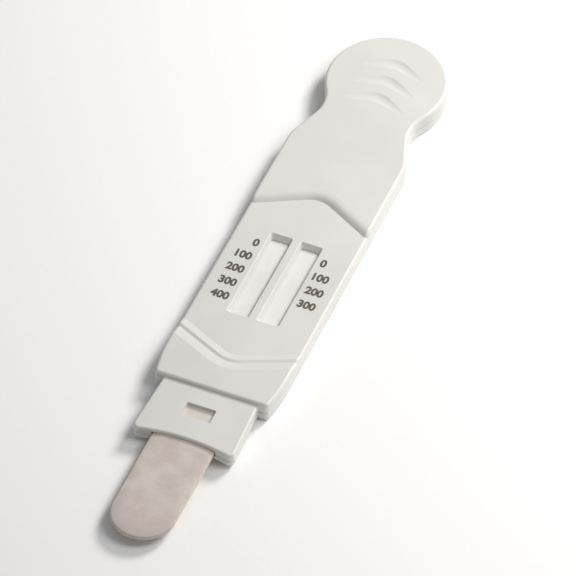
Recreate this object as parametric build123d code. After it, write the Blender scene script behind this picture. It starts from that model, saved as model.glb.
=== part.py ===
from build123d import *
import math
import os

# Saliva test device, in millimetres. X runs across it, Y along it towards the
# thumb grip, and Z up from the back of the case, which lies on the table.

# Lengths along Y, from the tip of the collection pad to the end of the grip
pad_reach = 26.8
collar_length = 15.5
body_length = 73.4
head_offset = 20.7
head_radius = 13.05

# Widths across X
pad_width = 14.0
collar_width = 22.9
collar_draw_in = 0.8
body_width = 27.4
shoulder_width = 26.4

# Curves of the outline
collar_corner = 1.2
mouth_rise = 1.5
heel_length = 9.0
heel_tuck = 1.0
heel_corner = 0.9
shoulder_angle = 20.5
shoulder_radius = 7.0
neck_radius = 8.0

# Heights and walls of the case
case_height = 5.0
parting_height = 2.4
side_wall = 1.4
front_wall = 1.4
panel_wall = 0.8
rear_wall = 1.2
collar_wall = 0.8
collar_inset = 0.8
body_edge = 0.7
collar_edge = 0.5
seam_chamfer = 0.15

# Sunken panel between the two chevrons
panel_depth = 0.9
upper_chevron_start = 58.7
upper_chevron_angle = 27.5
upper_chevron_bend = 6.0
brow_run = 2.6
brow_lean = 0.9
brow_rise = 0.8
lower_chevron_start = 10.8
lower_chevron_angle = 24.2
lower_chevron_bend = 5.0
ramp_run = 1.7
ramp_gap = 1.4
ramp_crease = 0.2
band_width = 2.5

# Result windows
window_width = 4.9
window_length = 24.0
window_pitch = 6.75
window_start = 22.0
window_side_bevel = 0.45
window_end_bevel = 0.9
window_corner = 0.4
window_edge = 0.25
window_frame = 1.0
window_lift = 0.15

# Slot in the collar
slot_width = 6.6
slot_length = 3.8
slot_start = 7.1
slot_corner = 0.4

# Finger grooves on the grip
groove_count = 3
groove_pitch = 5.1
groove_first = 5.6
groove_depth = 0.3
groove_section = 3.6
groove_reach = 8.4
groove_sag = 3.4
groove_bend = 4.5
groove_fade = 0.37

# Test strips and collection pad
strip_width = 4.5
strip_start = 2.8
strip_bed = 1.2
strip_clearance = 0.15
card_thickness = 0.3
sample_thickness = 0.3
conjugate_length = 6.5
conjugate_thickness = 0.25
membrane_thickness = 0.15
absorbent_length = 16.0
absorbent_thickness = 0.4
layer_overlap = 1.5
frame_gap = 0.5
pad_thickness = 1.4
pad_clearance = 0.2
pad_edge = 0.3

# Ribs, pegs and sockets inside the case
rib_width = 0.8
rib_height = 0.5
peg_radius = 1.1
peg_clearance = 0.05
peg_gap = 0.3
boss_wall = 0.9
peg_side = 10.2
peg_front_start = 6.5
peg_rear_start = 66.0

# Extra length of each cut past the face that it opens, and how near counts as the same place
cut_margin = 1.0
same_place = 0.05

# Places along Y
overall_length = pad_reach + collar_length + body_length + head_offset + head_radius
y_tip = -overall_length / 2
y_mouth = y_tip + pad_reach
y_step = y_mouth + collar_length
y_shoulder = y_step + body_length
y_head = y_shoulder + head_offset
y_panel_low = y_step + lower_chevron_start
y_panel_high = y_step + upper_chevron_start
y_window = y_step + window_start
y_ramp_top = y_panel_low - 2 * ramp_run - ramp_gap
y_brow_top = y_panel_high + brow_run

# Places of the strip's layers along Y
y_strip = y_step + strip_start
y_membrane = y_window - window_frame - frame_gap - layer_overlap
y_membrane_end = y_window + window_length + window_frame + frame_gap + layer_overlap
y_conjugate_end = y_membrane + layer_overlap
y_conjugate = y_conjugate_end - conjugate_length
y_sample_end = y_conjugate + layer_overlap
y_absorbent = y_membrane_end - layer_overlap
y_strip_end = y_absorbent + absorbent_length
y_bed = y_strip - strip_clearance - rib_width
y_bed_end = y_strip_end + strip_clearance + rib_width
y_pad_lift = y_bed - pad_clearance
y_pad_end = y_ramp_top - pad_clearance

# Heights along Z
z_panel = case_height - panel_depth
z_ceiling = case_height - front_wall
z_panel_ceiling = z_panel - panel_wall
z_collar_low = collar_inset
z_collar_high = case_height - collar_inset
z_pad_high = z_collar_high - collar_wall
z_pad_low = z_pad_high - pad_thickness
z_card = rear_wall + strip_bed
z_strip = z_card + card_thickness
z_membrane_top = z_strip + membrane_thickness
z_window_rim = z_membrane_top + window_lift

# Half widths of what lies inside the case
half_pad = pad_width / 2
half_tunnel = half_pad + pad_clearance
half_frame = (window_pitch + window_width) / 2 + window_frame
half_channel = strip_width / 2 + strip_clearance
half_bed = window_pitch / 2 + half_channel + rib_width


def prism(profile, low, high):
    """Solid between two heights over a profile in the XY plane."""
    return extrude(Plane.XY.offset(low) * profile, amount=high - low)


def block(x_low, x_high, y_low, y_high, z_low, z_high):
    """Rectangular solid from its lowest to its highest corner."""
    size = (x_high - x_low, y_high - y_low, z_high - z_low)
    return Pos(x_low, y_low, z_low) * Box(*size, align=(Align.MIN, Align.MIN, Align.MIN))


def mirrored(half):
    """A half and its mirror image across the middle plane, as one solid."""
    return half + mirror(half, about=Plane.YZ)


def body_outline():
    """Body, neck and round grip as one face, seen from the front."""
    half_body = body_width / 2
    half_shoulder = shoulder_width / 2
    heel_radius = (heel_length**2 + heel_tuck**2) / (2 * heel_tuck)
    flank_lean = head_offset * math.tan(math.radians(shoulder_angle))
    heel = Line((0, y_step), (half_body - heel_tuck, y_step))
    tuck = RadiusArc(heel @ 1, (half_body, y_step + heel_length), -heel_radius)
    side = Line(tuck @ 1, (half_shoulder, y_shoulder))
    flank = Line(side @ 1, (half_shoulder - flank_lean, y_head))
    top = Line(flank @ 1, (0, y_head))
    middle = Line(top @ 1, (0, y_step))
    half = make_face([heel, tuck, side, flank, top, middle])
    outline = mirrored(half) + Pos(0, y_head) * Circle(head_radius)
    necks = outline.vertices().filter_by_position(Axis.Y, y_shoulder + same_place, y_head)
    outline = fillet(necks, neck_radius)
    at_shoulder = (y_shoulder - same_place, y_shoulder + same_place)
    shoulders = outline.vertices().filter_by_position(Axis.Y, *at_shoulder)
    outline = fillet(shoulders, shoulder_radius)
    heels = outline.vertices().filter_by_position(Axis.Y, y_step - same_place, y_step + same_place)
    return fillet(heels, heel_corner)


def collar_outline():
    """Collar as one face: drawn in towards the body, with a concave arc at the mouth."""
    half_mouth = collar_width / 2
    half_root = half_mouth - collar_draw_in
    y_root = y_step + side_wall
    mouth = ThreePointArc((-half_mouth, y_mouth), (0, y_mouth + mouth_rise), (half_mouth, y_mouth))
    right = Line(mouth @ 1, (half_root, y_step))
    right_root = Line(right @ 1, (half_root, y_root))
    root = Line(right_root @ 1, (-half_root, y_root))
    left_root = Line(root @ 1, (-half_root, y_step))
    left = Line(left_root @ 1, mouth @ 0)
    face = make_face([mouth, right, right_root, root, left_root, left])
    corners = face.vertices().filter_by_position(Axis.Y, y_mouth - same_place, y_mouth + same_place)
    return fillet(corners, collar_corner)


def chevron_points(y_apex, angle):
    """Ends and apex of a chevron across the body. A positive angle lifts its arms towards the grip."""
    reach = body_width / 2 + side_wall + brow_run
    y_ends = y_apex + reach * math.tan(math.radians(angle))
    return [(-reach, y_ends), (0, y_apex), (reach, y_ends)]


def swept_band(path, profile):
    """Profile swept along a level path. The profile's X points left of the path and its Y up."""
    ahead = path % 0
    start = Plane(origin=path @ 0, x_dir=Vector(0, 0, 1).cross(ahead), z_dir=ahead)
    return sweep(start * profile, path=path)


def brow_section():
    """Space over the upper chevron: a steep foot on the panel that rounds over into the face."""
    z_open = case_height + cut_margin
    floor = Line((-band_width, z_panel), (0, z_panel))
    steep = (brow_lean, z_panel + brow_rise)
    level = (brow_run / 2, case_height)
    wall = Bezier(floor @ 1, steep, level, (brow_run, case_height))
    rest = Polyline(wall @ 1, (brow_run, z_open), (-band_width, z_open), floor @ 0)
    return make_face([floor, wall, rest])


def ramp_section():
    """Space over the lower chevron: two ramps with a creased ledge between them."""
    z_open = case_height + cut_margin
    z_ledge = z_panel + panel_depth / 2
    ledge_near = -ramp_run
    crease = ledge_near - ramp_gap / 2
    ledge_far = ledge_near - ramp_gap
    top = ledge_far - ramp_run
    floor = [(band_width, z_panel), (0, z_panel)]
    ledge = [(ledge_near, z_ledge), (crease, z_ledge - ramp_crease), (ledge_far, z_ledge)]
    lid = [(top, case_height), (top, z_open), (band_width, z_open)]
    return make_face(Polyline(*floor, *ledge, *lid, close=True))


def panel_space():
    """Space cut from the face of the body to leave the sunken panel."""
    upper = chevron_points(y_panel_high, -upper_chevron_angle)
    lower = chevron_points(y_panel_low, lower_chevron_angle)
    brow = swept_band(FilletPolyline(*upper, radius=upper_chevron_bend), brow_section())
    ramp = swept_band(FilletPolyline(*lower, radius=lower_chevron_bend), ramp_section())
    upper_inner = [(x, y - band_width / 2) for x, y in upper]
    lower_inner = [(x, y + band_width / 2) for x, y in reversed(lower)]
    middle = make_face(Polyline(*upper_inner, *lower_inner, close=True))
    return brow + ramp + prism(middle, z_panel, case_height + cut_margin)


def groove_space(y_apex):
    """Space of one finger groove: a round section on a chevron whose ends rise out of the face."""
    tilt = math.atan2(groove_fade, groove_sag)
    slant = math.hypot(groove_fade, groove_sag)
    origin = (0, y_apex, case_height - groove_depth + groove_section)
    sloped = Plane(origin=origin, x_dir=(1, 0, 0), z_dir=(0, math.sin(tilt), math.cos(tilt)))
    points = [(-groove_reach, -slant), (0, 0), (groove_reach, -slant)]
    path = sloped * FilletPolyline(*points, radius=groove_bend)
    start = Plane(origin=path @ 0, z_dir=path % 0)
    return sweep(start * Circle(groove_section), path=path)


def window_centres():
    """Middle of each result window on the XY plane, left one first."""
    return [(side * window_pitch / 2, y_window + window_length / 2) for side in (-1, 1)]


def window_well(centre):
    """Bevelled well of one result window, open at both ends."""
    low_width = window_width - 2 * window_side_bevel
    low_length = window_length - 2 * window_end_bevel
    low = RectangleRounded(low_width, low_length, window_corner)
    high = RectangleRounded(window_width, window_length, window_corner)
    bevel = loft([Pos(*centre, z_window_rim) * low, Pos(*centre, z_panel) * high])
    below = prism(Pos(*centre) * low, parting_height - cut_margin, z_window_rim)
    above = prism(Pos(*centre) * high, z_panel, case_height)
    return bevel + below + above


def rim_edges(slab):
    """Edges of a block's upright walls that lie away from the seam."""
    walls = [face for face in slab.faces() if abs(face.normal_at().Z) < same_place]
    edges = ShapeList([edge for wall in walls for edge in wall.edges()])
    level = edges.filter_by(Axis.Z, reverse=True)
    return level.filter_by(lambda edge: abs(edge.center().Z - parting_height) > body_edge)


def seam_softened(cover):
    """A solid cover block with a fine chamfer round its seam."""
    at_seam = (parting_height - same_place, parting_height + same_place)
    seam = cover.edges().filter_by_position(Axis.Z, *at_seam)
    return chamfer(seam, seam_chamfer)


def peg_places():
    """Middle of each peg and socket on the XY plane: four in the body and one in the grip."""
    starts = (peg_front_start, peg_rear_start)
    return [(side * peg_side, y_step + start) for side in (-1, 1) for start in starts] + [(0, y_head)]


def front_shell():
    """Outer form of the front cover: body with its panel and grooves, and the collar."""
    body = prism(body_outline(), parting_height, case_height) - panel_space()
    for index in range(groove_count):
        body -= groove_space(y_head + groove_first - index * groove_pitch)
    body = fillet(rim_edges(body), body_edge)
    collar = prism(collar_outline(), parting_height, z_collar_high)
    collar = fillet(rim_edges(collar), collar_edge)
    return seam_softened(body + collar)


def rear_shell():
    """Outer form of the rear cover: a flat-backed body and the collar set in from the back."""
    body = prism(body_outline(), 0, parting_height)
    body = fillet(rim_edges(body), body_edge)
    collar = prism(collar_outline(), z_collar_low, parting_height)
    collar = fillet(rim_edges(collar), collar_edge)
    return seam_softened(body + collar)


def front_cavity():
    """Hollow of the front cover, low under the panel and deeper at both ends."""
    inner = offset(body_outline(), -side_wall)
    half_width = body_width / 2
    z_open = parting_height - cut_margin
    deep = prism(inner, z_open, z_ceiling)
    low_end = deep & block(-half_width, half_width, y_step, y_ramp_top, z_open, z_ceiling)
    high_end = deep & block(-half_width, half_width, y_brow_top, y_head + head_radius, z_open, z_ceiling)
    return prism(inner, z_open, z_panel_ceiling) + low_end + high_end


def tunnel(z_low, z_high):
    """Space for the collection pad, from outside the mouth into the body."""
    y_inside = y_step + 2 * side_wall
    return block(-half_tunnel, half_tunnel, y_mouth - cut_margin, y_inside, z_low, z_high)


def collar_pockets(z_low, z_high):
    """Two pockets in the collar, one each side of the pad, that keep its walls even."""
    inner = prism(offset(collar_outline(), -side_wall), z_low, z_high)
    half_core = half_tunnel + rib_width
    return inner - block(-half_core, half_core, y_mouth, y_step + side_wall, z_low, z_high)


def strip_bar(y_middle, z_low, z_high):
    """Bar across both strips that presses on what lies under it."""
    y_low = y_middle - rib_width / 2
    return block(-half_pad, half_pad, y_low, y_low + rib_width, z_low, z_high)


def front_peg():
    """Peg of the front cover, on a boss that ends at the seam."""
    boss = prism(Circle(peg_radius + boss_wall), parting_height, z_ceiling)
    return boss + prism(Circle(peg_radius), rear_wall + peg_gap, z_ceiling)


def windowed(cover):
    """Front cover with its window frame, the two bevelled wells and their softened rims."""
    y_low = y_window - window_frame
    y_high = y_window + window_length + window_frame
    cover += block(-half_frame, half_frame, y_low, y_high, z_window_rim, z_panel_ceiling)
    for centre in window_centres():
        cover -= window_well(centre)
    rims = cover.edges().filter_by_position(Axis.Z, z_panel - same_place, z_panel + same_place)
    rims = rims.filter_by_position(Axis.Y, y_low, y_high)
    return fillet(rims.filter_by_position(Axis.X, -half_frame, half_frame), window_edge)


def build_front_cover():
    """Front cover as one moulding, with windows, slot, mouth, bars and pegs."""
    cover = windowed(front_shell() - front_cavity())
    cover -= tunnel(parting_height - cut_margin, z_pad_high)
    cover -= collar_pockets(parting_height - cut_margin, z_pad_high)
    slot = RectangleRounded(slot_width, slot_length, slot_corner)
    y_slot = y_mouth + slot_start + slot_length / 2
    cover -= prism(Pos(0, y_slot) * slot, z_pad_high - cut_margin, case_height)
    cover += strip_bar((y_strip + y_pad_end) / 2, z_pad_high, z_ceiling)
    y_absorbent_middle = (y_absorbent + y_strip_end) / 2
    cover += strip_bar(y_absorbent_middle, z_strip + absorbent_thickness, z_panel_ceiling)
    for place in peg_places():
        cover += Pos(*place) * front_peg()
    return cover


def strip_channel(side):
    """Space in which one strip lies on its bed."""
    x_middle = side * window_pitch / 2
    return block(
        x_middle - half_channel,
        x_middle + half_channel,
        y_strip - strip_clearance,
        y_strip_end + strip_clearance,
        z_card,
        case_height,
    )


def build_rear_cover():
    """Rear cover as one moulding: a tray with the strips' bed, sockets and collar floor."""
    inner = offset(body_outline(), -side_wall)
    cover = rear_shell() - prism(inner, rear_wall, parting_height + cut_margin)
    cover -= tunnel(z_pad_low, parting_height + cut_margin)
    cover -= collar_pockets(z_collar_low + collar_wall, parting_height + cut_margin)
    cover += block(-half_bed, half_bed, y_bed, y_bed_end, rear_wall, z_card + rib_height)
    for side in (-1, 1):
        cover -= strip_channel(side)
    for place in peg_places():
        boss = prism(Circle(peg_radius + boss_wall), rear_wall, parting_height)
        socket = prism(Circle(peg_radius + peg_clearance), rear_wall, parting_height)
        cover = cover + Pos(*place) * boss - Pos(*place) * socket
    return cover


def build_collection_pad():
    """Absorbent pad with a round tip. Its inner end thins where it lies on the strips."""
    y_round = y_tip + half_pad
    straight = Rectangle(pad_width, y_pad_end - y_round, align=(Align.CENTER, Align.MIN))
    plan = Pos(0, y_round) * (straight + Circle(half_pad))
    pad = prism(plan, z_pad_low, z_pad_high)
    ends = pad.edges().filter_by(Axis.Z, reverse=True)
    pad = fillet(ends, pad_edge)
    z_sample_top = z_strip + sample_thickness
    return pad - block(-half_pad, half_pad, y_pad_lift, y_pad_end, z_pad_low, z_sample_top)


def flat_layer(side, y_low, y_high, z_low, thickness):
    """Flat layer of one strip."""
    x_low = side * window_pitch / 2 - strip_width / 2
    return block(x_low, x_low + strip_width, y_low, y_high, z_low, z_low + thickness)


def climbing_layer(side, y_flat, y_edge, y_far, thickness, lift):
    """Layer that lies on the card up to a neighbour's edge, and on that neighbour from there."""
    y_riser = y_edge - math.copysign(thickness, y_far - y_edge)
    z_flat = z_strip + thickness
    under = [(y_flat, z_strip), (y_edge, z_strip), (y_edge, z_strip + lift), (y_far, z_strip + lift)]
    over = [(y_far, z_flat + lift), (y_riser, z_flat + lift), (y_riser, z_flat), (y_flat, z_flat)]
    section = make_face(Polyline(*under, *over, close=True))
    x_low = side * window_pitch / 2 - strip_width / 2
    return extrude(Plane.YZ.offset(x_low) * section, amount=strip_width)


def build_strip(side):
    """The five layers of one test strip, by name."""
    return {
        "backing_card": flat_layer(side, y_strip, y_strip_end, z_card, card_thickness),
        "sample_pad": climbing_layer(
            side, y_strip, y_conjugate, y_sample_end, sample_thickness, conjugate_thickness
        ),
        "conjugate_pad": climbing_layer(
            side, y_conjugate, y_membrane, y_conjugate_end, conjugate_thickness, membrane_thickness
        ),
        "membrane": flat_layer(side, y_membrane, y_membrane_end, z_strip, membrane_thickness),
        "absorbent_pad": climbing_layer(
            side, y_strip_end, y_membrane_end, y_absorbent, absorbent_thickness, membrane_thickness
        ),
    }


pieces = {
    "front_cover": build_front_cover(),
    "rear_cover": build_rear_cover(),
    "collection_pad": build_collection_pad(),
}
for name, side in (("left", -1), ("right", 1)):
    for layer, solid in build_strip(side).items():
        pieces[f"{name}_{layer}"] = solid

os.makedirs("parts", exist_ok=True)
for name, solid in pieces.items():
    export_step(solid, f"parts/{name}.step")
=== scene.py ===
"""Looks of a saliva test device: finishes, fibre pads, printed scale, light and camera.

The device lies on its back. X runs across it, Y along it towards the thumb grip, and Z up out of its face.
"""

import logging
import math
from dataclasses import dataclass
from enum import Enum

import bmesh
import bpy
from mathutils import Matrix, Vector, noise

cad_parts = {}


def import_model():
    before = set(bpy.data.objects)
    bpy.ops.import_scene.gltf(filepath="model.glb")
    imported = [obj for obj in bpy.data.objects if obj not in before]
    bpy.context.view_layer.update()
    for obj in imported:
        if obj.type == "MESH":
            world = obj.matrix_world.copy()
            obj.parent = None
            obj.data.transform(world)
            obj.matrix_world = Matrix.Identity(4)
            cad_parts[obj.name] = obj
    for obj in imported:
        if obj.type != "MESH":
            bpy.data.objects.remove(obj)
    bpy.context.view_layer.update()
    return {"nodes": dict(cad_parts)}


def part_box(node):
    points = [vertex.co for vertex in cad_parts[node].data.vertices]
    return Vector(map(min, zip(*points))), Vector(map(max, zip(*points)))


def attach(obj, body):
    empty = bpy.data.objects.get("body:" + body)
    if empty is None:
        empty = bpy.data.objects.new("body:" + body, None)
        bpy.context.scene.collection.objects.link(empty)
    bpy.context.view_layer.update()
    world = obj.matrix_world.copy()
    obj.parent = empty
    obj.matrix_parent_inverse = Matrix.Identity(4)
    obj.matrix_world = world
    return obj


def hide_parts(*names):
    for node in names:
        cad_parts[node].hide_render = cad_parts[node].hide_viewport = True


MM = 0.001
BODY = "root"

# Nearly all values of a noise pattern lie between these two
NOISE_LOW = 0.3
NOISE_HIGH = 0.7

# Finer layers that a noise pattern adds to itself, few for soft clouds and more for grain, and their strength
CLOUD_DETAIL = 2.0
GRAIN_DETAIL = 3.0
DETAIL_STRENGTH = 0.55

# Places of the two colours among the inputs of a mix node, and of the mixed colour among its outputs
MIX_FIRST = 6
MIX_SECOND = 7
MIX_RESULT = 2

log = logging.getLogger("saliva_test_device")


class Side(Enum):
    """The two halves of the device, by the way that they lie from its middle."""

    LEFT = -1
    RIGHT = 1


# Helpers that every finish uses


def linear_colour(code: str) -> tuple[float, float, float, float]:
    """Turns an sRGB colour into a linear one.

    Args:
        code: The colour as six hex digits after a hash.

    Returns:
        Red, green, blue and an alpha of one, in linear light.
    """
    shares = [int(code[at : at + 2], 16) / 255 for at in (1, 3, 5)]
    red, green, blue = [s / 12.92 if s <= 0.04045 else ((s + 0.055) / 1.055) ** 2.4 for s in shares]
    return red, green, blue, 1.0


def pattern_scale(size_mm: float) -> float:
    """Scale of a pattern on Object coordinates whose features are this many millimetres across."""
    return 1 / (size_mm * MM)


def add_node(
    tree: bpy.types.NodeTree, kind: str, inputs: dict | None = None, **settings: object
) -> bpy.types.Node:
    """Adds a node with its settings, and sets or links its inputs.

    Args:
        tree: The node tree that gets the node.
        kind: Blender's name for the kind of node.
        inputs: Value or linked output of each input, by the input's name or place.
        **settings: Properties of the node itself.

    Returns:
        The new node.
    """
    node = tree.nodes.new(kind)
    for name, value in settings.items():
        setattr(node, name, value)
    for name, value in (inputs or {}).items():
        if isinstance(value, bpy.types.NodeSocket):
            tree.links.new(value, node.inputs[name])
        else:
            node.inputs[name].default_value = value
    return node


def new_material(name: str) -> tuple[bpy.types.Material, bpy.types.NodeTree]:
    """Makes a material with an empty node tree.

    Args:
        name: The material's name.

    Returns:
        The material and its node tree.
    """
    material = bpy.data.materials.new(name)
    material.use_nodes = True
    material.node_tree.nodes.clear()
    return material, material.node_tree


# Finishes


@dataclass(frozen=True)
class SatinPolystyrene:
    """High-impact polystyrene, injection moulded against spark-eroded steel.

    The eye gets a warm white with a soft satin shine, a little light that goes through thin edges, and a fine
    even grain. The grain of the steel is about 0.1 mm, and is drawn three times as coarse so that it shows.
    """

    name: str = "polystyrene_moulded_satin"
    tone_low: str = "#D8D8D3"
    tone_high: str = "#DEDDD9"
    cloud_mm: float = 22.0
    shine_patch_mm: float = 7.0
    roughness: tuple[float, float] = (0.40, 0.52)
    ior: float = 1.59
    grain_mm: float = 0.3
    grain_depth_mm: float = 0.02
    grain_strength: float = 0.35
    glow_share: float = 0.12
    glow_tint: tuple[float, float, float] = (1.0, 0.92, 0.82)
    glow_depth_mm: float = 0.7

    def material(self) -> bpy.types.Material:
        """Builds the material: two whites in soft clouds, patches of shine, and grain.

        Returns:
            The moulded plastic's material.
        """
        material, tree = new_material(self.name)
        place = add_node(tree, "ShaderNodeTexCoord").outputs["Object"]
        clouds = add_node(
            tree,
            "ShaderNodeTexNoise",
            {
                "Vector": place,
                "Scale": pattern_scale(self.cloud_mm),
                "Detail": CLOUD_DETAIL,
                "Roughness": DETAIL_STRENGTH,
            },
        )
        cloud_share = add_node(
            tree,
            "ShaderNodeMapRange",
            {"Value": clouds.outputs["Fac"], "From Min": NOISE_LOW, "From Max": NOISE_HIGH},
            interpolation_type="SMOOTHSTEP",
        )
        tone = add_node(
            tree,
            "ShaderNodeMix",
            {
                "Factor": cloud_share.outputs["Result"],
                MIX_FIRST: linear_colour(self.tone_low),
                MIX_SECOND: linear_colour(self.tone_high),
            },
            data_type="RGBA",
        )
        shine_patches = add_node(
            tree,
            "ShaderNodeTexNoise",
            {
                "Vector": place,
                "Scale": pattern_scale(self.shine_patch_mm),
                "Detail": CLOUD_DETAIL,
                "Roughness": DETAIL_STRENGTH,
            },
        )
        shine = add_node(
            tree,
            "ShaderNodeMapRange",
            {
                "Value": shine_patches.outputs["Fac"],
                "From Min": NOISE_LOW,
                "From Max": NOISE_HIGH,
                "To Min": self.roughness[0],
                "To Max": self.roughness[1],
            },
            interpolation_type="SMOOTHSTEP",
        )
        grain = add_node(
            tree,
            "ShaderNodeTexNoise",
            {
                "Vector": place,
                "Scale": pattern_scale(self.grain_mm),
                "Detail": GRAIN_DETAIL,
                "Roughness": DETAIL_STRENGTH,
            },
        )
        relief = add_node(
            tree,
            "ShaderNodeBump",
            {
                "Height": grain.outputs["Fac"],
                "Distance": self.grain_depth_mm * MM,
                "Strength": self.grain_strength,
            },
        )
        shader = add_node(
            tree,
            "ShaderNodeBsdfPrincipled",
            {
                "Base Color": tone.outputs[MIX_RESULT],
                "Roughness": shine.outputs["Result"],
                "IOR": self.ior,
                "Subsurface Weight": self.glow_share,
                "Subsurface Radius": self.glow_tint,
                "Subsurface Scale": self.glow_depth_mm * MM,
                "Normal": relief.outputs["Normal"],
            },
        )
        add_node(tree, "ShaderNodeOutputMaterial", {"Surface": shader.outputs["BSDF"]})
        return material


@dataclass(frozen=True)
class PressedFibre:
    """Viscose and polyester fibre, carded, pressed and die cut, as collection pads are.

    The eye gets a dull pinkish grey, blotched where the fibres lie thicker, a little darker at the tip, which
    is partly the pad's own tone and partly painted shade, and paler inside the case. The fibres are 0.02 mm
    thick, and are drawn 0.15 mm thick so that they show.
    """

    name: str = "viscose_pad_pressed"
    tone_low: str = "#C2B8B0"
    tone_high: str = "#D2CAC2"
    blotch_mm: float = 4.2
    blotch_detail: float = 4.0
    blotch_share: float = 0.85
    # Darker towards the tip: partly the pad's own tone, partly painted shade for the weaker light at the tip
    tip_tone_and_shade: str = "#BEB1AB"
    tip_tone_and_shade_share: float = 0.55
    tip_tone_and_shade_y_mm: tuple[float, float] = (-74.7, -58.0)
    inside_tone: str = "#D3D0C4"
    inside_y_mm: tuple[float, float] = (-46.5, -43.0)
    fibre_thick_mm: float = 0.15
    fibre_long_mm: float = 2.4
    fibre_turns: tuple[float, ...] = (18.0, 74.0, 131.0)
    fibre_bend: float = 0.4
    fibre_range: tuple[float, float] = (0.42, 0.72)
    fibre_share: float = 0.15
    fibre_depth_mm: float = 0.03
    fibre_strength: float = 0.5
    roughness: tuple[float, float] = (0.95, 0.8)
    ior: float = 1.47
    fuzz_share: float = 0.15
    fuzz_roughness: float = 0.6

    def fibres(self, tree: bpy.types.NodeTree, place: bpy.types.NodeSocket) -> bpy.types.NodeSocket:
        """Layers of stretched noise that lie across each other, as crossing fibres do.

        Args:
            tree: The material's node tree.
            place: The coordinates that it reads.

        Returns:
            The output that gives the height of the fibres, from 0 to 1.
        """
        strands = []
        for turn in self.fibre_turns:
            across = pattern_scale(self.fibre_thick_mm)
            lain = add_node(
                tree,
                "ShaderNodeMapping",
                {
                    "Vector": place,
                    "Rotation": (0.0, 0.0, math.radians(turn)),
                    "Scale": (pattern_scale(self.fibre_long_mm), across, across),
                },
            )
            strand = add_node(
                tree,
                "ShaderNodeTexNoise",
                {
                    "Vector": lain.outputs["Vector"],
                    "Scale": 1.0,
                    "Detail": 1.0,
                    "Distortion": self.fibre_bend,
                },
            )
            strands.append(strand.outputs["Fac"])
        highest = strands[0]
        for strand in strands[1:]:
            upper = add_node(tree, "ShaderNodeMath", {0: highest, 1: strand}, operation="MAXIMUM")
            highest = upper.outputs["Value"]
        height = add_node(
            tree,
            "ShaderNodeMapRange",
            {"Value": highest, "From Min": self.fibre_range[0], "From Max": self.fibre_range[1]},
            interpolation_type="SMOOTHSTEP",
        )
        return height.outputs["Result"]

    def dry_tone(
        self, tree: bpy.types.NodeTree, place: bpy.types.NodeSocket, fibres: bpy.types.NodeSocket
    ) -> bpy.types.NodeSocket:
        """Two greys, mixed by blotches and fibres.

        Args:
            tree: The material's node tree.
            place: The coordinates that it reads.
            fibres: The output that gives the height of the fibres.

        Returns:
            The output that gives the colour.
        """
        blotches = add_node(
            tree,
            "ShaderNodeTexNoise",
            {
                "Vector": place,
                "Scale": pattern_scale(self.blotch_mm),
                "Detail": self.blotch_detail,
                "Roughness": DETAIL_STRENGTH,
            },
        )
        thick = add_node(
            tree,
            "ShaderNodeMapRange",
            {
                "Value": blotches.outputs["Fac"],
                "From Min": NOISE_LOW,
                "From Max": NOISE_HIGH,
                "To Max": self.blotch_share,
            },
            interpolation_type="SMOOTHSTEP",
        )
        share = add_node(
            tree,
            "ShaderNodeMath",
            {0: fibres, 1: self.fibre_share, 2: thick.outputs["Result"]},
            operation="MULTIPLY_ADD",
            use_clamp=True,
        )
        tone = add_node(
            tree,
            "ShaderNodeMix",
            {
                "Factor": share.outputs["Value"],
                MIX_FIRST: linear_colour(self.tone_low),
                MIX_SECOND: linear_colour(self.tone_high),
            },
            data_type="RGBA",
        )
        return tone.outputs[MIX_RESULT]

    def material(self) -> bpy.types.Material:
        """Builds the material: blotched fibre, darker at the tip with its own tone and painted shade, and
        paler inside the case.

        Returns:
            The pad's material.
        """
        material, tree = new_material(self.name)
        place = add_node(tree, "ShaderNodeTexCoord").outputs["Object"]
        along = add_node(tree, "ShaderNodeSeparateXYZ", {"Vector": place}).outputs["Y"]
        fibres = self.fibres(tree, place)
        tone = self.dry_tone(tree, place, fibres)
        # The tip zone darkens the tip with its own tone and painted shade; the inside zone is the pad's own
        # paler tone
        zones = (
            (self.tip_tone_and_shade, self.tip_tone_and_shade_y_mm, (self.tip_tone_and_shade_share, 0.0)),
            (self.inside_tone, self.inside_y_mm, (0.0, 1.0)),
        )
        for zone_tone, span_mm, shares in zones:
            zone = add_node(
                tree,
                "ShaderNodeMapRange",
                {
                    "Value": along,
                    "From Min": span_mm[0] * MM,
                    "From Max": span_mm[1] * MM,
                    "To Min": shares[0],
                    "To Max": shares[1],
                },
                interpolation_type="SMOOTHSTEP",
            )
            mixed = add_node(
                tree,
                "ShaderNodeMix",
                {"Factor": zone.outputs["Result"], MIX_FIRST: tone, MIX_SECOND: linear_colour(zone_tone)},
                data_type="RGBA",
            )
            tone = mixed.outputs[MIX_RESULT]
        dullness = add_node(
            tree,
            "ShaderNodeMapRange",
            {"Value": fibres, "To Min": self.roughness[0], "To Max": self.roughness[1]},
            interpolation_type="SMOOTHSTEP",
        )
        relief = add_node(
            tree,
            "ShaderNodeBump",
            {"Height": fibres, "Distance": self.fibre_depth_mm * MM, "Strength": self.fibre_strength},
        )
        shader = add_node(
            tree,
            "ShaderNodeBsdfPrincipled",
            {
                "Base Color": tone,
                "Roughness": dullness.outputs["Result"],
                "IOR": self.ior,
                "Sheen Weight": self.fuzz_share,
                "Sheen Roughness": self.fuzz_roughness,
                "Normal": relief.outputs["Normal"],
            },
        )
        add_node(tree, "ShaderNodeOutputMaterial", {"Surface": shader.outputs["BSDF"]})
        return material


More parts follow.
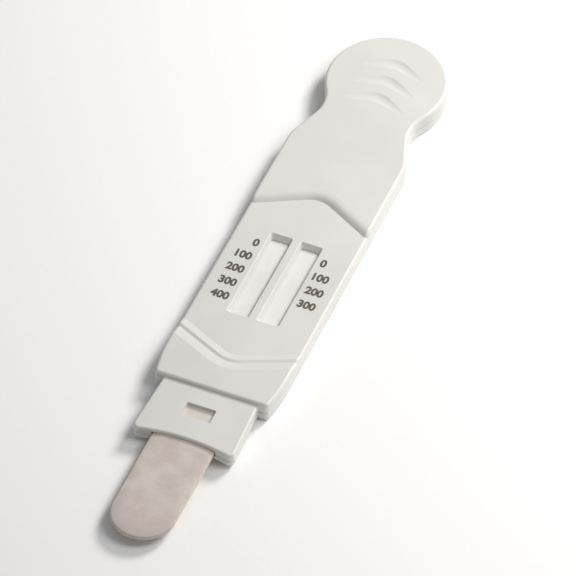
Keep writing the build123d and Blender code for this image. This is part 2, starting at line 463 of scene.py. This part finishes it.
@dataclass(frozen=True)
class MattSheet:
    """Thin matt sheet of a test strip, in two close tones with a fine grain.

    The eye gets a dry sheet with faint patches and a grain that takes the shine off it.
    """

    name: str
    tone_low: str
    tone_high: str
    patch_mm: float
    patch_detail: float
    grain_mm: float
    grain_detail: float
    grain_depth_mm: float
    grain_strength: float
    roughness: tuple[float, float]
    ior: float = 1.5

    def material(self) -> bpy.types.Material:
        """Builds the material: patches of two tones, and grain in both shine and relief.

        Returns:
            The sheet's material.
        """
        material, tree = new_material(self.name)
        place = add_node(tree, "ShaderNodeTexCoord").outputs["Object"]
        patches = add_node(
            tree,
            "ShaderNodeTexNoise",
            {
                "Vector": place,
                "Scale": pattern_scale(self.patch_mm),
                "Detail": self.patch_detail,
                "Roughness": DETAIL_STRENGTH,
            },
        )
        patch_share = add_node(
            tree,
            "ShaderNodeMapRange",
            {"Value": patches.outputs["Fac"], "From Min": NOISE_LOW, "From Max": NOISE_HIGH},
            interpolation_type="SMOOTHSTEP",
        )
        tone = add_node(
            tree,
            "ShaderNodeMix",
            {
                "Factor": patch_share.outputs["Result"],
                MIX_FIRST: linear_colour(self.tone_low),
                MIX_SECOND: linear_colour(self.tone_high),
            },
            data_type="RGBA",
        )
        grain = add_node(
            tree,
            "ShaderNodeTexNoise",
            {
                "Vector": place,
                "Scale": pattern_scale(self.grain_mm),
                "Detail": self.grain_detail,
                "Roughness": DETAIL_STRENGTH,
            },
        )
        dullness = add_node(
            tree,
            "ShaderNodeMapRange",
            {
                "Value": grain.outputs["Fac"],
                "From Min": NOISE_LOW,
                "From Max": NOISE_HIGH,
                "To Min": self.roughness[0],
                "To Max": self.roughness[1],
            },
            interpolation_type="SMOOTHSTEP",
        )
        relief = add_node(
            tree,
            "ShaderNodeBump",
            {
                "Height": grain.outputs["Fac"],
                "Distance": self.grain_depth_mm * MM,
                "Strength": self.grain_strength,
            },
        )
        shader = add_node(
            tree,
            "ShaderNodeBsdfPrincipled",
            {
                "Base Color": tone.outputs[MIX_RESULT],
                "Roughness": dullness.outputs["Result"],
                "IOR": self.ior,
                "Normal": relief.outputs["Normal"],
            },
        )
        add_node(tree, "ShaderNodeOutputMaterial", {"Surface": shader.outputs["BSDF"]})
        return material


@dataclass(frozen=True)
class FibreMat(MattSheet):
    """Glass fibre or cotton fibre laid wet into a mat, as the pads of a test strip are.

    The eye gets a dry matt sheet with a loose grain, tinted where a reagent has dried in it.
    """

    patch_mm: float = 1.8
    patch_detail: float = GRAIN_DETAIL
    grain_mm: float = 0.25
    grain_detail: float = GRAIN_DETAIL
    grain_depth_mm: float = 0.05
    grain_strength: float = 0.6
    roughness: tuple[float, float] = (0.82, 0.95)


@dataclass(frozen=True)
class Nitrocellulose(MattSheet):
    """Nitrocellulose membrane, cast as a film with fine pores.

    The eye gets the whitest and smoothest part of the device, quite matt, with a trace of blotching. Pores of
    0.01 mm are drawn 0.12 mm across so that they show.
    """

    name: str = "nitrocellulose_cast"
    tone_low: str = "#E0E1DC"
    tone_high: str = "#E4E5E0"
    patch_mm: float = 4.0
    patch_detail: float = CLOUD_DETAIL
    grain_mm: float = 0.12
    grain_detail: float = CLOUD_DETAIL
    grain_depth_mm: float = 0.008
    grain_strength: float = 0.5
    roughness: tuple[float, float] = (0.66, 0.78)


@dataclass(frozen=True)
class VinylCard:
    """Rigid white vinyl sheet, calendered smooth and cut into cards.

    The eye gets a clean cool white with a low even shine, broken by faint rolling streaks along the sheet.
    """

    name: str = "vinyl_card_calendered"
    tone_low: str = "#EFEFEC"
    tone_high: str = "#F6F6F4"
    streak_mm: tuple[float, float] = (0.5, 9.0)
    roughness: tuple[float, float] = (0.28, 0.4)
    ior: float = 1.54

    def material(self) -> bpy.types.Material:
        """Builds the material: noise drawn out along the sheet, in both tone and shine.

        Returns:
            The card's material.
        """
        material, tree = new_material(self.name)
        place = add_node(tree, "ShaderNodeTexCoord").outputs["Object"]
        across, along = (pattern_scale(size) for size in self.streak_mm)
        drawn_out = add_node(tree, "ShaderNodeMapping", {"Vector": place, "Scale": (across, along, across)})
        streaks = add_node(
            tree, "ShaderNodeTexNoise", {"Vector": drawn_out.outputs["Vector"], "Scale": 1.0}
        )
        tone = add_node(
            tree,
            "ShaderNodeMix",
            {
                "Factor": streaks.outputs["Fac"],
                MIX_FIRST: linear_colour(self.tone_low),
                MIX_SECOND: linear_colour(self.tone_high),
            },
            data_type="RGBA",
        )
        shine = add_node(
            tree,
            "ShaderNodeMapRange",
            {
                "Value": streaks.outputs["Fac"],
                "From Min": NOISE_LOW,
                "From Max": NOISE_HIGH,
                "To Min": self.roughness[0],
                "To Max": self.roughness[1],
            },
            interpolation_type="SMOOTHSTEP",
        )
        shader = add_node(
            tree,
            "ShaderNodeBsdfPrincipled",
            {"Base Color": tone.outputs[MIX_RESULT], "Roughness": shine.outputs["Result"], "IOR": self.ior},
        )
        add_node(tree, "ShaderNodeOutputMaterial", {"Surface": shader.outputs["BSDF"]})
        return material


@dataclass(frozen=True)
class PadPrintInk:
    """Dark brown-grey vinyl ink, pad printed and dried.

    The eye gets a flat dark film, a little thinner and paler in spots where the silicone pad lifted.
    """

    name: str = "pad_print_ink"
    tone_full: str = "#5C554A"
    tone_thin: str = "#7C7468"
    spot_mm: float = 0.45
    spot_range: tuple[float, float] = (0.5, 0.75)
    roughness: tuple[float, float] = (0.5, 0.62)
    ior: float = 1.5

    def material(self) -> bpy.types.Material:
        """Builds the material: a dark tone with thin spots.

        Returns:
            The ink's material.
        """
        material, tree = new_material(self.name)
        place = add_node(tree, "ShaderNodeTexCoord").outputs["Object"]
        spots = add_node(
            tree,
            "ShaderNodeTexNoise",
            {
                "Vector": place,
                "Scale": pattern_scale(self.spot_mm),
                "Detail": GRAIN_DETAIL,
                "Roughness": DETAIL_STRENGTH,
            },
        )
        thin_share = add_node(
            tree,
            "ShaderNodeMapRange",
            {"Value": spots.outputs["Fac"], "From Min": self.spot_range[0], "From Max": self.spot_range[1]},
            interpolation_type="SMOOTHSTEP",
        )
        tone = add_node(
            tree,
            "ShaderNodeMix",
            {
                "Factor": thin_share.outputs["Result"],
                MIX_FIRST: linear_colour(self.tone_full),
                MIX_SECOND: linear_colour(self.tone_thin),
            },
            data_type="RGBA",
        )
        shine = add_node(
            tree,
            "ShaderNodeMapRange",
            {
                "Value": spots.outputs["Fac"],
                "From Min": NOISE_LOW,
                "From Max": NOISE_HIGH,
                "To Min": self.roughness[0],
                "To Max": self.roughness[1],
            },
            interpolation_type="SMOOTHSTEP",
        )
        shader = add_node(
            tree,
            "ShaderNodeBsdfPrincipled",
            {"Base Color": tone.outputs[MIX_RESULT], "Roughness": shine.outputs["Result"], "IOR": self.ior},
        )
        add_node(tree, "ShaderNodeOutputMaterial", {"Surface": shader.outputs["BSDF"]})
        return material


@dataclass(frozen=True)
class SeamlessPaper:
    """Matt white background paper of a photo table.

    The eye gets an even white with a faint tooth.
    """

    name: str = "seamless_paper_white"
    tone_low: str = "#F7F7F6"
    tone_high: str = "#FBFBFA"
    tooth_mm: float = 1.2
    tooth_depth_mm: float = 0.02
    tooth_strength: float = 0.2
    roughness: float = 0.9

    def material(self) -> bpy.types.Material:
        """Builds the material: two whites and the paper's tooth.

        Returns:
            The paper's material.
        """
        material, tree = new_material(self.name)
        place = add_node(tree, "ShaderNodeTexCoord").outputs["Object"]
        tooth = add_node(
            tree,
            "ShaderNodeTexNoise",
            {
                "Vector": place,
                "Scale": pattern_scale(self.tooth_mm),
                "Detail": CLOUD_DETAIL,
                "Roughness": DETAIL_STRENGTH,
            },
        )
        tone = add_node(
            tree,
            "ShaderNodeMix",
            {
                "Factor": tooth.outputs["Fac"],
                MIX_FIRST: linear_colour(self.tone_low),
                MIX_SECOND: linear_colour(self.tone_high),
            },
            data_type="RGBA",
        )
        relief = add_node(
            tree,
            "ShaderNodeBump",
            {
                "Height": tooth.outputs["Fac"],
                "Distance": self.tooth_depth_mm * MM,
                "Strength": self.tooth_strength,
            },
        )
        shader = add_node(
            tree,
            "ShaderNodeBsdfPrincipled",
            {
                "Base Color": tone.outputs[MIX_RESULT],
                "Roughness": self.roughness,
                "Normal": relief.outputs["Normal"],
            },
        )
        add_node(tree, "ShaderNodeOutputMaterial", {"Surface": shader.outputs["BSDF"]})
        return material


# Sub-assemblies


def dress(node: bpy.types.Object, material: bpy.types.Material) -> None:
    """Gives a solid of the frame its finish.

    Args:
        node: The solid.
        material: The finish that it gets.
    """
    node.data.materials.clear()
    node.data.materials.append(material)
    log.info("%s: %s", node.name, material.name)


def new_piece(name: str, mesh: bpy.types.Mesh, material: bpy.types.Material) -> bpy.types.Object:
    """Makes a new piece of the device from a finished mesh.

    Args:
        name: The piece's name.
        mesh: Its mesh, already in its place.
        material: The finish that it gets.

    Returns:
        The new object, which rides on the device.
    """
    mesh.materials.clear()
    mesh.materials.append(material)
    piece = bpy.data.objects.new(name, mesh)
    bpy.context.scene.collection.objects.link(piece)
    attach(piece, BODY)
    log.info("%s: %d faces, %s", name, len(mesh.polygons), material.name)
    return piece


@dataclass
class Case:
    """The two moulded covers, whose shapes come from the frame."""

    nodes: dict[str, bpy.types.Object]
    finish: SatinPolystyrene = SatinPolystyrene()
    covers: tuple[str, ...] = ("front_cover", "rear_cover")

    def build(self) -> None:
        """Dresses both covers."""
        material = self.finish.material()
        for name in self.covers:
            dress(self.nodes[name], material)


@dataclass
class CollectionPad:
    """The soft pad that takes up saliva. It is die cut, and falls off softly towards its cut edge."""

    finish: PressedFibre = PressedFibre()
    shoulder_width: float = 2.4 * MM
    shoulder_drop: float = 0.2 * MM
    shoulder_steps: int = 4
    edge_round: float = 0.28 * MM
    tip_steps: int = 28
    merge_distance: float = 0.005 * MM
    row_length: float = 1.0 * MM
    squeeze_margin: float = 2.0 * MM
    free_length: float = 2.4 * MM
    wave_height: float = 0.05 * MM
    wave_size: float = 4.5 * MM
    ragged_size: float = 0.9 * MM
    ragged_depth: float = 0.05 * MM
    refinement: int = 2

    def half_profile(self, half: float, low: float, high: float) -> list[tuple[float, float]]:
        """Half of the pad's section, from the middle of its top round to the middle of its underside.

        Args:
            half: Half of the pad's width.
            low: Height of its underside.
            high: Height of its top.

        Returns:
            Distance from the middle and height of each corner.
        """
        inner = half - self.shoulder_width
        outer = half - self.edge_round
        edge_top = high - self.shoulder_drop
        quarter = self.edge_round * (1 - math.sqrt(0.5))
        shoulder = []
        for step in range(self.shoulder_steps + 1):
            share = step / self.shoulder_steps
            shoulder.append((inner + (outer - inner) * share, high - self.shoulder_drop * share**2))
        return [
            (0.0, high),
            *shoulder,
            (half - quarter, edge_top - quarter),
            (half, edge_top - self.edge_round),
            (half, low + self.edge_round),
            (half - quarter, low + quarter),
            (outer, low),
            (inner, low),
            (0.0, low),
        ]

    def mesh(self) -> bpy.types.Mesh:
        """Builds the pad's mesh in the space of its solid.

        Returns:
            The mesh, with a round tip, soft shoulders and a thinner inner end that reaches over the strips.
        """
        lowest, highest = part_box("collection_pad")
        half = (highest.x - lowest.x) / 2
        tip_middle = Vector((0.0, lowest.y + half, 0.0))
        bm = bmesh.new()
        profile = self.half_profile(half, lowest.z, highest.z)
        corners = [bm.verts.new((x, tip_middle.y, z)) for x, z in profile]
        edges = [bm.edges.new(pair) for pair in zip(corners, corners[1:])]
        for edge in (edges[0], edges[-1]):
            cuts = round(edge.calc_length() / self.row_length)
            bmesh.ops.subdivide_edges(bm, edges=[edge], cuts=cuts)
        bmesh.ops.spin(
            bm,
            geom=bm.verts[:] + bm.edges[:],
            cent=tip_middle,
            axis=(0.0, 0.0, -1.0),
            angle=math.pi,
            steps=self.tip_steps,
        )
        bmesh.ops.remove_doubles(bm, verts=bm.verts[:], dist=self.merge_distance)
        self.extend(bm, tip_middle.y, highest.y)
        self.thin_inner_end(bm, lowest.z, highest.z)
        self.roughen(bm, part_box("front_cover")[0].y)
        bmesh.ops.recalc_face_normals(bm, faces=bm.faces[:])
        mesh = bpy.data.meshes.new("collection_pad_soft")
        bm.to_mesh(mesh)
        bm.free()
        return mesh

    def extend(self, bm: bmesh.types.BMesh, start: float, end: float) -> None:
        """Extends the half-round tip along the pad to its inner end, and closes that end.

        Args:
            bm: The mesh that holds the tip.
            start: Y of the tip's open side.
            end: Y of the pad's inner end.
        """
        rows = round((end - start) / self.row_length)
        edges = [edge for edge in bm.edges if edge.is_boundary]
        for _ in range(rows):
            made = bmesh.ops.extrude_edge_only(bm, edges=edges)["geom"]
            verts = [item for item in made if isinstance(item, bmesh.types.BMVert)]
            edges = [item for item in made if isinstance(item, bmesh.types.BMEdge)]
            bmesh.ops.translate(bm, verts=verts, vec=(0.0, (end - start) / rows, 0.0))
        bmesh.ops.holes_fill(bm, edges=edges)

    def thin_inner_end(self, bm: bmesh.types.BMesh, low: float, high: float) -> None:
        """Squeezes the inner end into the room above the highest part of the strips' sample pads.

        Args:
            bm: The pad's mesh.
            low: Height of the pad's underside.
            high: Height of its top.
        """
        squeeze_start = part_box("left_backing_card")[0].y - self.squeeze_margin
        squeeze = (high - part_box("left_sample_pad")[1].z) / (high - low)
        for vert in bm.verts:
            if vert.co.y > squeeze_start:
                vert.co.z = high - (high - vert.co.z) * squeeze

    def roughen(self, bm: bmesh.types.BMesh, mouth: float) -> None:
        """Gives the part outside the case the unevenness of pressed fibre and a slightly ragged cut.

        Args:
            bm: The pad's mesh.
            mouth: Y of the case's mouth. The case holds the pad flat up to there, and its hold fades outside.
        """
        bm.normal_update()
        for vert in bm.verts:
            share = min(1.0, max(0.0, (mouth - vert.co.y) / self.free_length))
            if share == 0.0:
                continue
            wave = noise.noise(vert.co / self.wave_size) * self.wave_height - self.wave_height / 2
            ragged = noise.noise(vert.co / self.ragged_size) * self.ragged_depth - self.ragged_depth / 2
            vert.co.z += share * wave * abs(vert.normal.z)
            outward = Vector((vert.normal.x, vert.normal.y, 0.0))
            vert.co += outward * (share * ragged)

    def build(self) -> None:
        """Builds the pad, dresses it, and puts it in the place of its solid."""
        pad = new_piece("collection_pad_soft", self.mesh(), self.finish.material())
        for polygon in pad.data.polygons:
            polygon.use_smooth = True
        subdivision = pad.modifiers.new("fine", "SUBSURF")
        subdivision.levels = self.refinement
        subdivision.render_levels = self.refinement
        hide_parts("collection_pad")


@dataclass
class TestStrip:
    """One strip: a card that carries four layers, which pass the liquid on from one to the next."""

    side: Side
    nodes: dict[str, bpy.types.Object]
    finishes: dict[str, bpy.types.Material]
    soft_edge: float = 0.07 * MM
    edge_segments: int = 2
    merge_distance: float = 0.0007 * MM
    flat_angle: float = 1.0
    firm_layers: tuple[str, ...] = ("backing_card", "membrane")
    soft_layers: tuple[tuple[str, str], ...] = (
        ("sample_pad", "sample_fibre"),
        ("conjugate_pad", "conjugate_fibre"),
        ("absorbent_pad", "absorbent_paper"),
    )

    def softened(self, node: bpy.types.Object) -> bpy.types.Mesh:
        """Copies a fibre layer's solid with its cut edges rounded.

        Args:
            node: The layer's solid.

        Returns:
            The new mesh.
        """
        bm = bmesh.new()
        bm.from_mesh(node.data)
        bmesh.ops.remove_doubles(bm, verts=bm.verts[:], dist=self.merge_distance)
        flat_angle = math.radians(self.flat_angle)
        bmesh.ops.dissolve_limit(bm, angle_limit=flat_angle, verts=bm.verts[:], edges=bm.edges[:])
        bmesh.ops.bevel(
            bm,
            geom=bm.edges[:],
            offset=self.soft_edge,
            offset_type="OFFSET",
            affect="EDGES",
            segments=self.edge_segments,
            profile=0.5,
            material=-1,
        )
        mesh = bpy.data.meshes.new(f"{node.name}_soft")
        bm.to_mesh(mesh)
        bm.free()
        return mesh

    def build(self) -> None:
        """Dresses the firm layers, and puts softened ones in the place of the fibre layers."""
        prefix = self.side.name.lower()
        for layer in self.firm_layers:
            dress(self.nodes[f"{prefix}_{layer}"], self.finishes[layer])
        for layer, slot in self.soft_layers:
            node = self.nodes[f"{prefix}_{layer}"]
            piece = new_piece(f"{node.name}_soft", self.softened(node), self.finishes[layer])
            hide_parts(node.name)


@dataclass
class PrintedScale:
    """Plain numbers printed on the sunken panel beside one window, with a nought at the control line."""

    side: Side
    finish: bpy.types.Material
    rows: tuple[str, ...]
    inner_edge: float = 6.95 * MM
    control_y: float = 8.5 * MM
    first_y: float = 4.45 * MM
    row_pitch: float = 4.05 * MM
    digit_height: float = 2.2 * MM
    digit_squeeze: float = 0.95
    boldness: float = 0.045
    film: float = 0.02 * MM
    panel_depth: float = 0.9 * MM
    curve_steps: int = 6

    def number_mesh(self, number: str) -> bpy.types.Mesh:
        """Draws one number and turns it into a mesh with its foot at the origin.

        Args:
            number: The digits.

        Returns:
            The mesh at its real size. It ends or starts at X = 0, whichever lies next to the window.
        """
        curve = bpy.data.curves.new(f"number_{number}", "FONT")
        curve.body = number
        curve.offset = self.boldness
        curve.resolution_u = self.curve_steps
        drawn = bpy.data.objects.new(curve.name, curve)
        mesh = bpy.data.meshes.new_from_object(drawn)
        bpy.data.objects.remove(drawn)
        low = Vector(min(v.co[axis] for v in mesh.vertices) for axis in range(3))
        high = Vector(max(v.co[axis] for v in mesh.vertices) for axis in range(3))
        scale = self.digit_height / (high.y - low.y)
        anchor = high.x if self.side is Side.LEFT else low.x
        mesh.transform(Matrix.Translation((-anchor, -low.y, 0.0)))
        mesh.transform(Matrix.Diagonal((scale * self.digit_squeeze, scale, 1.0, 1.0)))
        return mesh

    def build(self) -> None:
        """Prints the numbers on the panel, which lies below the face."""
        print_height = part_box("front_cover")[1].z - self.panel_depth + self.film
        places = [("0", self.control_y)]
        for index, number in enumerate(self.rows):
            places.append((number, self.first_y - index * self.row_pitch))
        for index, (number, y_foot) in enumerate(places):
            mesh = self.number_mesh(number)
            mesh.transform(Matrix.Translation((self.side.value * self.inner_edge, y_foot, print_height)))
            new_piece(f"{self.side.name.lower()}_print_{index}", mesh, self.finish)


# Studio


def direction(azimuth: float, elevation: float) -> Vector:
    """Direction from the device to a point round it.

    Args:
        azimuth: Degrees round Z, where 0 lies towards the pad and 90 to the right.
        elevation: Degrees above the table.

    Returns:
        The direction, of length one.
    """
    turn, rise = math.radians(azimuth), math.radians(elevation)
    return Vector((math.sin(turn) * math.cos(rise), -math.cos(turn) * math.cos(rise), math.sin(rise)))


@dataclass
class AreaLight:
    """One soft lamp, by the direction in which it stands from the device."""

    name: str
    azimuth: float
    elevation: float
    distance: float
    size: float
    power: float
    colour: str

    def build(self, aim: Vector) -> None:
        """Hangs the lamp and turns it to the device.

        Args:
            aim: The point that it shines on.
        """
        data = bpy.data.lights.new(self.name, "AREA")
        data.shape = "DISK"
        data.size = self.size
        data.energy = self.power
        data.color = linear_colour(self.colour)[:3]
        lamp = bpy.data.objects.new(self.name, data)
        bpy.context.scene.collection.objects.link(lamp)
        towards = direction(self.azimuth, self.elevation)
        lamp.location = aim + towards * self.distance
        lamp.rotation_mode = "QUATERNION"
        lamp.rotation_quaternion = (-towards).to_track_quat("-Z", "Y")


@dataclass
class Studio:
    """Table, light and camera, set as for the photograph."""

    azimuth: float = 23.0
    elevation: float = 48.0
    distance: float = 4.01
    lens_mm: float = 1200.0
    aim: tuple[float, float, float] = (0.0030, 0.0015, 0.0028)
    table_size: float = 6.0
    ambient: str = "#F4F5F7"
    ambient_strength: float = 0.31

    def lamps(self) -> list[AreaLight]:
        """The lamps: the main one beyond the grip, and a weaker one to the right.

        Returns:
            Both lamps, which still have to be hung.
        """
        return [
            AreaLight(
                "key", azimuth=155.0, elevation=38.0, distance=0.5, size=0.16, power=1.95, colour="#FFFAF6"
            ),
            AreaLight(
                "side", azimuth=95.0, elevation=54.0, distance=0.36, size=0.2, power=0.48, colour="#FFFFFF"
            ),
        ]

    def lay_table(self) -> None:
        """Lays the paper that the device lies on, which is no part of it."""
        bm = bmesh.new()
        bmesh.ops.create_grid(bm, x_segments=1, y_segments=1, size=self.table_size / 2)
        mesh = bpy.data.meshes.new("table")
        bm.to_mesh(mesh)
        bm.free()
        mesh.materials.append(SeamlessPaper().material())
        table = bpy.data.objects.new("table", mesh)
        bpy.context.scene.collection.objects.link(table)

    def set_light(self) -> None:
        """Hangs the lamps and adds the even light of a bright room."""
        for lamp in self.lamps():
            lamp.build(Vector(self.aim))
        world = bpy.data.worlds.new("ambient")
        world.use_nodes = True
        world.node_tree.nodes.clear()
        light = add_node(
            world.node_tree,
            "ShaderNodeBackground",
            {"Color": linear_colour(self.ambient), "Strength": self.ambient_strength},
        )
        add_node(world.node_tree, "ShaderNodeOutputWorld", {"Surface": light.outputs["Background"]})
        bpy.context.scene.world = world

    def set_camera(self) -> None:
        """Places the camera with its long lens, and points it at the device."""
        lens = bpy.data.cameras.new("camera")
        lens.lens = self.lens_mm
        camera = bpy.data.objects.new("camera", lens)
        bpy.context.scene.collection.objects.link(camera)
        back = direction(self.azimuth, self.elevation)
        camera.location = Vector(self.aim) + back * self.distance
        camera.rotation_mode = "QUATERNION"
        camera.rotation_quaternion = (-back).to_track_quat("-Z", "Y")
        bpy.context.scene.camera = camera
        log.info("studio: camera at azimuth %.1f, elevation %.1f", self.azimuth, self.elevation)

    def build(self) -> None:
        """Sets up the table, the light and the camera."""
        bpy.context.scene.view_settings.view_transform = "Standard"
        self.lay_table()
        self.set_light()
        self.set_camera()


def main() -> None:
    """Loads the frame, dresses it, adds the soft and printed pieces, and sets up the studio."""
    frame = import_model()
    nodes = frame["nodes"]
    Case(nodes).build()
    CollectionPad().build()
    strip_finishes = {
        "backing_card": VinylCard().material(),
        "sample_pad": FibreMat("glass_fibre_mat", "#E6E4DB", "#F0EEE6").material(),
        "conjugate_pad": FibreMat("glass_fibre_mat_tinted", "#B98F95", "#C9A3A8").material(),
        "membrane": Nitrocellulose().material(),
        "absorbent_pad": FibreMat("cotton_paper_thick", "#ECEAE3", "#F4F3ED", grain_mm=0.35).material(),
    }
    for side in Side:
        TestStrip(side, nodes, strip_finishes).build()
    ink = PadPrintInk().material()
    PrintedScale(Side.LEFT, ink, ("100", "200", "300", "400")).build()
    PrintedScale(Side.RIGHT, ink, ("100", "200", "300")).build()
    Studio().build()


if __name__ == "__main__":
    logging.basicConfig(level=logging.INFO, format="%(name)s %(message)s")
    main()
